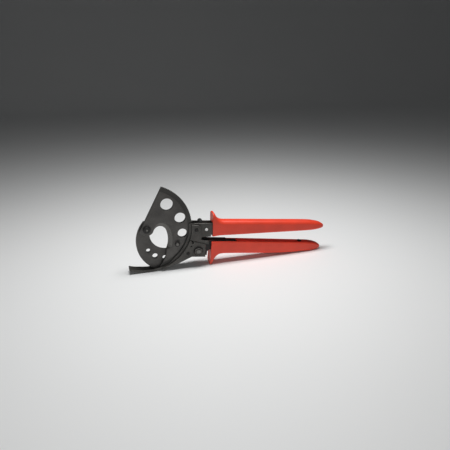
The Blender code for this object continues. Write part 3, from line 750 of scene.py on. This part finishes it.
def pawls():
    """Drive pawl on the lower handle, and holding pawl with its thumb button on the frame."""
    strut_pawl = plate("drive_pawl_strut", strut(DRIVE_PAWL_PIN, polar(60.4, -40), 3.0, 1.0), -4.4, -0.35,
                       FRAME_FINISH, [circle(DRIVE_PAWL_PIN, PAWL_PIN_R + PIN_GAP, 24)], 0.25)
    fit(strut_pawl, "drive_pawl", "black_steel", "drive_pawl")
    pin = turned("drive_pawl_stub_pin", rounded([(1.2, -5.9), (PAWL_PIN_R, -5.6), (PAWL_PIN_R, 5.6)], 0.2),
                 DRIVE_PAWL_PIN, FASTENER, 24)
    fit(pin, "lower_handle", "fastener_steel", "drive_pawl_pin")
    spring = coil("drive_pawl_torsion_spring", DRIVE_PAWL_PIN, 2.1, 0.32, -5.95, -4.6, (250, 200), 2)
    fit(spring, "lower_handle", "spring_steel", "drive_pawl_spring")
    claw = plate("holding_pawl_claw", strut(HOLDING_PAWL_PIN, polar(60.1, -17), 3.9, 1.2), -4.3, -0.4,
                 BLACK_FINISH, [circle(HOLDING_PAWL_PIN, RIVET_R + PIN_GAP, 24)], 0.25)
    fit(claw, "holding_pawl", "black_steel", "holding_pawl")
    tail_start = tuple(Vector(HOLDING_PAWL_PIN).lerp(Vector(THUMB_BUTTON), 0.36))
    tail = plate("holding_pawl_tail", strut(tail_start, THUMB_BUTTON, 2.4, 2.2), -4.2, -0.5, BLACK_FINISH,
                 (), 0.25)
    fit(tail, "holding_pawl", "black_steel")
    profile = rounded([(2.2, -4.3), (3.2, -3.6), (3.2, 3.6), (2.2, 4.3)], 0.8)
    fit(turned("thumb_button", profile, THUMB_BUTTON, BLACK), "holding_pawl", "black_steel")
    spring = coil("holding_pawl_torsion_spring", HOLDING_PAWL_PIN, 2.6, 0.7, 0.2, 4.2, (60, 110), 3)
    fit(spring, "frame", "spring_steel", "holding_pawl_spring")


# ---------------------------------------------------------------- the handles

def upper_grip_top(u):
    """Height of the upper grip's top, where it is straight."""
    return -0.5 - 0.1127 * (u - 115.7)


def upper_grip_bottom(u):
    """Height of the upper grip's underside, where it is straight."""
    return -20.5 - 0.061 * (u - 114.4)


def lower_grip_top(u):
    """Height of the lower grip's flat top."""
    return -30.7 - 0.144 * (u - 120.0)


def upper_handle_core():
    """Steel channel, open upwards, that runs into the upper grip."""
    outline = arc((0, 0), CHANNEL_R + TOUCH_GAP, 2.4, -17.4)
    outline += [(83.3, -19.2), (83.3, upper_grip_bottom(83.3) + 1.9)]
    outline += [(CORE_END, upper_grip_bottom(CORE_END) + 1.9), (CORE_END, upper_grip_top(CORE_END) - 2.8)]
    holes = [circle(HOLDING_PAWL_PIN, RIVET_R + HOLE_GAP, 24), circle(CORE_RIVET, RIVET_R + HOLE_GAP, 24)]
    front = plate("upper_core_front_wall", outline, -CORE_HALF, -CORE_HALF + CORE_WALL, FRAME_FINISH,
                  holes, 0.35)
    fit(front, "frame", "frame_steel", "upper_handle_core")
    back = plate("upper_core_back_wall", outline, CORE_HALF - CORE_WALL, CORE_HALF, FRAME_FINISH, holes, 0.35)
    fit(back, "frame", "frame_steel")
    # The web inside the channel is black: painted shade in the channel's interior. The walls stay grey steel.
    web = [(u, upper_grip_bottom(u) + 3.8) for u in (CORE_END - 0.5, 70.5)]
    web += [(u, upper_grip_bottom(u) + 2.3) for u in (70.5, CORE_END - 0.5)]
    inner = CORE_HALF - CORE_WALL + SEAT_GAP
    floor = plate("upper_core_web", web, -inner, inner, [BLACK] * 3, (), 0.05)
    fit(floor, "frame", "frame_steel")


def upper_grip():
    """Moulded sleeve with a finger guard that flares upwards."""
    stations = [
        (86.3, 11.6, 85.5, -18.4, 7.0, 3.6, 2.4), (86.0, 12.8, 85.2, -19.0, 7.7, 4.2, 2.8),
        (86.8, 13.6, 86.0, -19.4, 8.0, 4.6, 3.0), (88.4, 13.3, 87.6, -19.5, 8.0, 4.8, 3.0),
        (90.0, 10.6, 89.4, -19.4, 7.9, 5.0, 3.0), (92.2, 6.6, 91.8, -19.3, 7.75, 5.0, 3.2),
        (95.4, 3.2, 95.3, -19.3, 7.6, 5.0, 3.2), (101, 1.2, 101, -19.6, 7.4, 5.0, 3.2),
        (115.7, upper_grip_top(115.7), 115.7, upper_grip_bottom(115.7), 7.4, 5.0, 3.2),
        (170, upper_grip_top(170), 170, upper_grip_bottom(170), 7.2, 5.0, 3.2),
        (222, upper_grip_top(222), 222, upper_grip_bottom(222), 7.0, 5.0, 3.2),
        (236, -14.9, 236, -27.8, 6.4, 5.2, 3.6), (244, -17.2, 244, -27.8, 5.4, 4.6, 4.0),
        (249.2, -19.9, 249.2, -27.1, 3.9, 3.2, 3.0), (251.7, -22.0, 251.7, -26.2, 2.3, 1.9, 1.8),
        (252.4, -24.0, 252.4, -24.8, 0.5, 0.4, 0.4)]
    grip = lofted("upper_grip_sleeve", stations, RED)
    far = CORE_END + TOUCH_GAP
    cavity = [(u, upper_grip_top(u) - 2.5) for u in (75.0, far)]
    cavity += [(u, upper_grip_bottom(u) + 1.6) for u in (far, 75.0)]
    half = CORE_HALF + TOUCH_GAP
    carve(grip, plate("cavity", cavity, -half, half, [RED] * 3, (), 0.2))
    fit(grip, "frame", "red_plastic", "upper_grip")


def lower_handle_core():
    """Blackened bar inside the lower grip, which comes out of its slot and carries the drive pawl."""
    far = LOWER_CORE_END
    outline = [(66.5, -22.0), (105.7, -27.5), (107.0, lower_grip_top(107.0) - 0.6),
               (SLOT_END, lower_grip_top(SLOT_END) - 0.6), (SLOT_END, lower_grip_top(SLOT_END) - 2.1),
               (far, lower_grip_top(far) - 2.1), (far, -52.5), (112, -43.5), (86, -37.5), (80.6, -38.4),
               (77.6, -40.5), (77.2, -45.8), (71.5, -45.8)]
    outline += arc(HANDLE_PIVOT, 7.1, -50, -300, 4) + [(66.8, -24.5)]
    holes = [circle(HANDLE_PIVOT, HANDLE_BOLT_R + HOLE_GAP)]
    core = plate("lower_core_bar", outline, -LOWER_CORE_HALF, LOWER_CORE_HALF, BLACK_FINISH, holes, 0.4)
    fit(core, "lower_handle", "black_steel", "lower_handle_core")
    neck = tuple(Vector(HANDLE_PIVOT).lerp(Vector(DRIVE_PAWL_PIN), 0.5))
    arm = plate("lower_core_pawl_arm", strut(neck, DRIVE_PAWL_PIN, 4.9, 3.9), 0.4, LOWER_CORE_HALF - 0.15,
                BLACK_FINISH, [circle(DRIVE_PAWL_PIN, PAWL_PIN_R + PIN_GAP, 24)], 0.3)
    fit(arm, "lower_handle", "black_steel")


def lower_grip():
    """Moulded sleeve with a flat top, slotted near the guard, and a finger guard that flares downwards."""
    stations = [
        (83.8, -27.4, 81.4, -57.2, 7.2, 1.6, 2.8), (83.5, -26.8, 80.9, -58.6, 7.8, 1.8, 3.2),
        (84.2, -26.4, 80.9, -59.7, 8.2, 2.0, 3.6), (85.8, -26.2, 82.0, -60.0, 8.2, 2.0, 3.6),
        (87.4, -26.3, 84.0, -58.0, 8.1, 1.8, 3.6), (89.6, -26.5, 86.7, -53.2, 7.9, 1.6, 3.6),
        (93.2, -26.9, 90.8, -48.6, 7.65, 1.5, 3.6), (99.0, -27.7, 97.6, -46.6, 7.4, 1.5, 3.6),
        (115, lower_grip_top(115), 115, -48.3, 7.4, 1.5, 3.6),
        (163.8, lower_grip_top(163.8), 163.8, -54.7, 7.3, 1.5, 3.6),
        (189, lower_grip_top(189), 189, -57.6, 7.1, 1.5, 3.6),
        (215.4, lower_grip_top(215.4), 215.4, -59.3, 6.9, 1.6, 3.6),
        (232, lower_grip_top(232), 232, -60.0, 6.7, 2.0, 3.6), (242, -49.6, 242, -59.7, 5.6, 3.0, 3.8),
        (246.8, -52.3, 246.8, -58.7, 3.9, 3.0, 3.2), (248.7, -54.2, 248.7, -57.7, 2.0, 1.7, 1.7),
        (249.2, -55.6, 249.2, -56.4, 0.5, 0.4, 0.4)]
    grip = lofted("lower_grip_sleeve", stations, RED)
    far = LOWER_CORE_END + TOUCH_GAP
    slot_end = SLOT_END + TOUCH_GAP
    cavity = [(74, -15), (slot_end, -15), (slot_end, lower_grip_top(slot_end) - 1.8),
              (far, lower_grip_top(far) - 1.8), (far, -52.8), (112, -43.8), (74, -37.8)]
    half = LOWER_CORE_HALF + TOUCH_GAP
    carve(grip, plate("cavity", cavity, -half, half, [RED] * 3, (), 0.2))
    fit(grip, "lower_handle", "red_plastic", "lower_grip")


def keep_bumper():
    """The CAD's small rubber stop stays, with a better finish."""
    bumper = frame["nodes"]["handle_bumper"]
    bumper.data.materials.clear()
    bumper.data.materials.append(RUBBER)
    bumper.data.shade_smooth()
    bumper.data.set_sharp_from_angle(angle=radians(SHARP_RUBBER))


# ---------------------------------------------------------------- studio

def camera():
    """Low three-quarter view from the front, a little towards the nose."""
    target = place(105.0, 0.0, -6.5)
    azimuth = radians(16.2)
    elevation = radians(22.2)
    distance = 0.55
    back = Vector((-sin(azimuth) * cos(elevation), -cos(azimuth) * cos(elevation), sin(elevation)))
    data = bpy.data.cameras.new("camera")
    data.lens = 32.69
    data.sensor_width = 36.0
    data.shift_x = data.shift_y = -0.5 / IMAGE_SIZE
    made = bpy.data.objects.new("camera", data)
    made.location = target + back * distance
    made.rotation_mode = "QUATERNION"
    made.rotation_quaternion = (-back).to_track_quat("-Z", "Y")
    bpy.context.scene.collection.objects.link(made)
    bpy.context.scene.camera = made


def area_light(name, location, aim, size, power):
    data = bpy.data.lights.new(name, "AREA")
    data.shape = "RECTANGLE"
    data.size, data.size_y = size
    data.energy = power
    made = bpy.data.objects.new(name, data)
    made.location = location
    made.rotation_mode = "QUATERNION"
    made.rotation_quaternion = (Vector(aim) - Vector(location)).to_track_quat("-Z", "Y")
    bpy.context.scene.collection.objects.link(made)


def studio():
    """Pale sweep of paper, a soft light overhead, a faint front fill and a dim even surround."""
    far = 1.7
    turn = 0.9
    reach = 4.0
    profile = [(-reach, 0.0)] + arc((far, turn), turn, 270, 360, 4) + [(far + turn, reach)]
    corners = [(side * reach, y, z) for y, z in profile for side in (-1, 1)]
    mesh = bpy.data.meshes.new("sweep")
    mesh.from_pydata(corners, [], [(i, i + 1, i + 3, i + 2) for i in range(0, len(corners) - 2, 2)])
    mesh.shade_smooth()
    sweep = bpy.data.objects.new("sweep", mesh)
    bpy.context.scene.collection.objects.link(sweep)
    paper = Nodes("pale_paper", 0.6, 0.0)
    paper.feed("Base Color", paper.mix(paper.noise(3, 2), (0.80, 0.81, 0.81), (0.84, 0.845, 0.84)))
    mesh.materials.append(paper.material)
    area_light("overhead_softbox", (0.0, 0.0, 0.58), (0.0, 0.0, 0.0), (0.5, 0.15), 3.7)
    area_light("front_fill", (-0.35, -1.0, 0.40), (0.0, 0.0, 0.05), (0.9, 0.6), 1.9)
    world = bpy.data.worlds.new("surround")
    bpy.context.scene.world = world
    world.use_nodes = True
    background = world.node_tree.nodes["Background"]
    background.inputs["Color"].default_value = (0.97, 0.985, 1.0, 1.0)
    background.inputs["Strength"].default_value = 0.045
    bpy.context.scene.view_settings.view_transform = "Standard"


# ---------------------------------------------------------------- the whole tool

camera()
studio()
moving_blade()
fixed_blade()
blade_pivot()
guide_channel()
side_plates()
frame_spacer()
rivet("frame_rivet_domed", "frame_rivet", FRAME_RIVET, PLATE_OUT, 2.3, BLACK)
# The upper core rivet is near white: painted highlight on its head.
rivet("upper_core_rivet_domed", "upper_core_rivet", CORE_RIVET, CORE_HALF, 2.1, PAINTED_HIGHLIGHT_RIVET)
flush_pin()
handle_pivot()
pawls()
upper_handle_core()
upper_grip()
lower_handle_core()
lower_grip()
keep_bumper()
